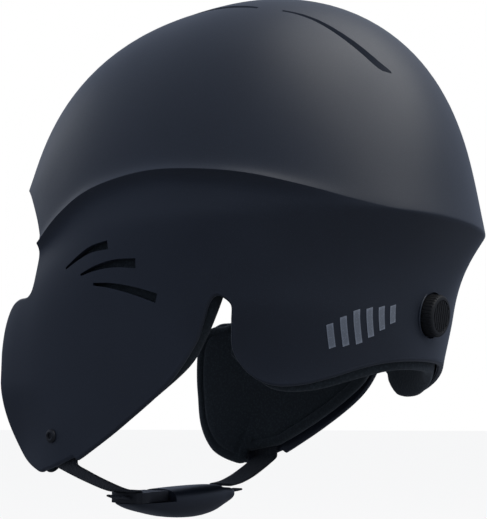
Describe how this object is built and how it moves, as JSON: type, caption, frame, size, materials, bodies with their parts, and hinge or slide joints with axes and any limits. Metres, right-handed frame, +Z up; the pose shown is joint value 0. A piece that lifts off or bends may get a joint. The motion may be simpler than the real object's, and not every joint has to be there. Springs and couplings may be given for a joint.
{
  "type": "water sports helmet",
  "caption": "Hard-shell water helmet with long cheek guards, slotted crown, gill vents, rear fit dial, padded lining and a chin strap with a magnetic boat-shaped buckle.",
  "frame": {"origin": "centre of the whole closed helmet's bounding box, on its mid-plane", "axes": "-Y towards the wearer's face, +X towards the wearer's left, +Z up through the crown"},
  "size_m": [0.2196, 0.2804, 0.2954],
  "materials": {
    "satin_shell": "satin dark blue-charcoal moulded shell",
    "impact_foam": "fine bead foam, near black",
    "lining_fabric": "brushed quick-dry fabric over foam, dark grey-green",
    "webbing": "woven polyester webbing, near black",
    "dark_plastic": "fine matt moulded plastic, near black",
    "dial_plastic": "matt moulded plastic, black",
    "steel": "stainless steel"
  },
  "bodies": {
    "helmet": {"outer_shell": "satin_shell", "impact_liner": "impact_foam", "cheek_pad_left": "lining_fabric", "cheek_pad_right": "lining_fabric", "nape_lining": "lining_fabric", "brow_pad": "lining_fabric", "crown_pad": "lining_fabric", "side_pad_left": "lining_fabric", "side_pad_right": "lining_fabric", "gearbox_housing": "dark_plastic", "gearbox_cover": "dark_plastic", "cover_screw_left": "steel", "cover_screw_right": "steel", "anchor_web_left": "webbing", "anchor_web_right": "webbing", "strap_rivet_left": "dark_plastic", "strap_rivet_right": "dark_plastic", "rivet_washer_left": "steel", "rivet_washer_right": "steel", "chin_web_left": "webbing", "buckle_tongue": "dark_plastic", "tongue_magnet": "steel", "strap_tail": "webbing"},
    "dial": {"dial_knob": "dial_plastic", "dial_spindle": "steel", "drive_pinion": "dark_plastic"},
    "rack_left": {"band_rack_left": "dark_plastic"},
    "rack_right": {"band_rack_right": "dark_plastic"},
    "cradle": {"fit_cradle": "dark_plastic", "cradle_pad": "lining_fabric"},
    "strap_right": {"chin_web_right": "webbing", "buckle_body": "satin_shell", "body_magnet": "steel"},
    "release": {"release_slide": "dark_plastic"},
    "pull_tab": {"pull_tab": "dark_plastic"}
  },
  "joints": [
    {"name": "dial_spin", "type": "hinge", "parent": "helmet", "child": "dial", "pos_m": [0, 0.11929, -0.0386], "axis": [0, 0.9877, -0.1564], "range_deg": [0, 180]},
    {"name": "rack_left_slide", "type": "slide", "parent": "helmet", "child": "rack_left", "axis": [-1, 0, 0], "range_m": [0, 0.0123]},
    {"name": "rack_right_slide", "type": "slide", "parent": "helmet", "child": "rack_right", "axis": [1, 0, 0], "range_m": [0, 0.0123]},
    {"name": "cradle_slide", "type": "slide", "parent": "helmet", "child": "cradle", "axis": [0, -1, 0], "range_m": [0, 0.008]},
    {"name": "right_strap_swing", "type": "hinge", "parent": "helmet", "child": "strap_right", "pos_m": [-0.091, -0.04981, -0.1141], "axis": [0, 1, 0], "range_deg": [0, 40]},
    {"name": "release_pull", "type": "slide", "parent": "strap_right", "child": "release", "axis": [-1, 0, 0], "range_m": [0, 0.005]},
    {"name": "pull_tab_flip", "type": "hinge", "parent": "release", "child": "pull_tab", "pos_m": [-0.0473, -0.04981, -0.1348], "axis": [0, 1, 0], "range_deg": [-60, 8]}
  ],
  "couplings": [
    {"joint": "rack_left_slide", "follows": "dial_spin", "m_per_rad": 0.0039},
    {"joint": "rack_right_slide", "follows": "dial_spin", "m_per_rad": 0.0039},
    {"joint": "cradle_slide", "follows": "dial_spin", "m_per_rad": 0.0025}
  ]
}
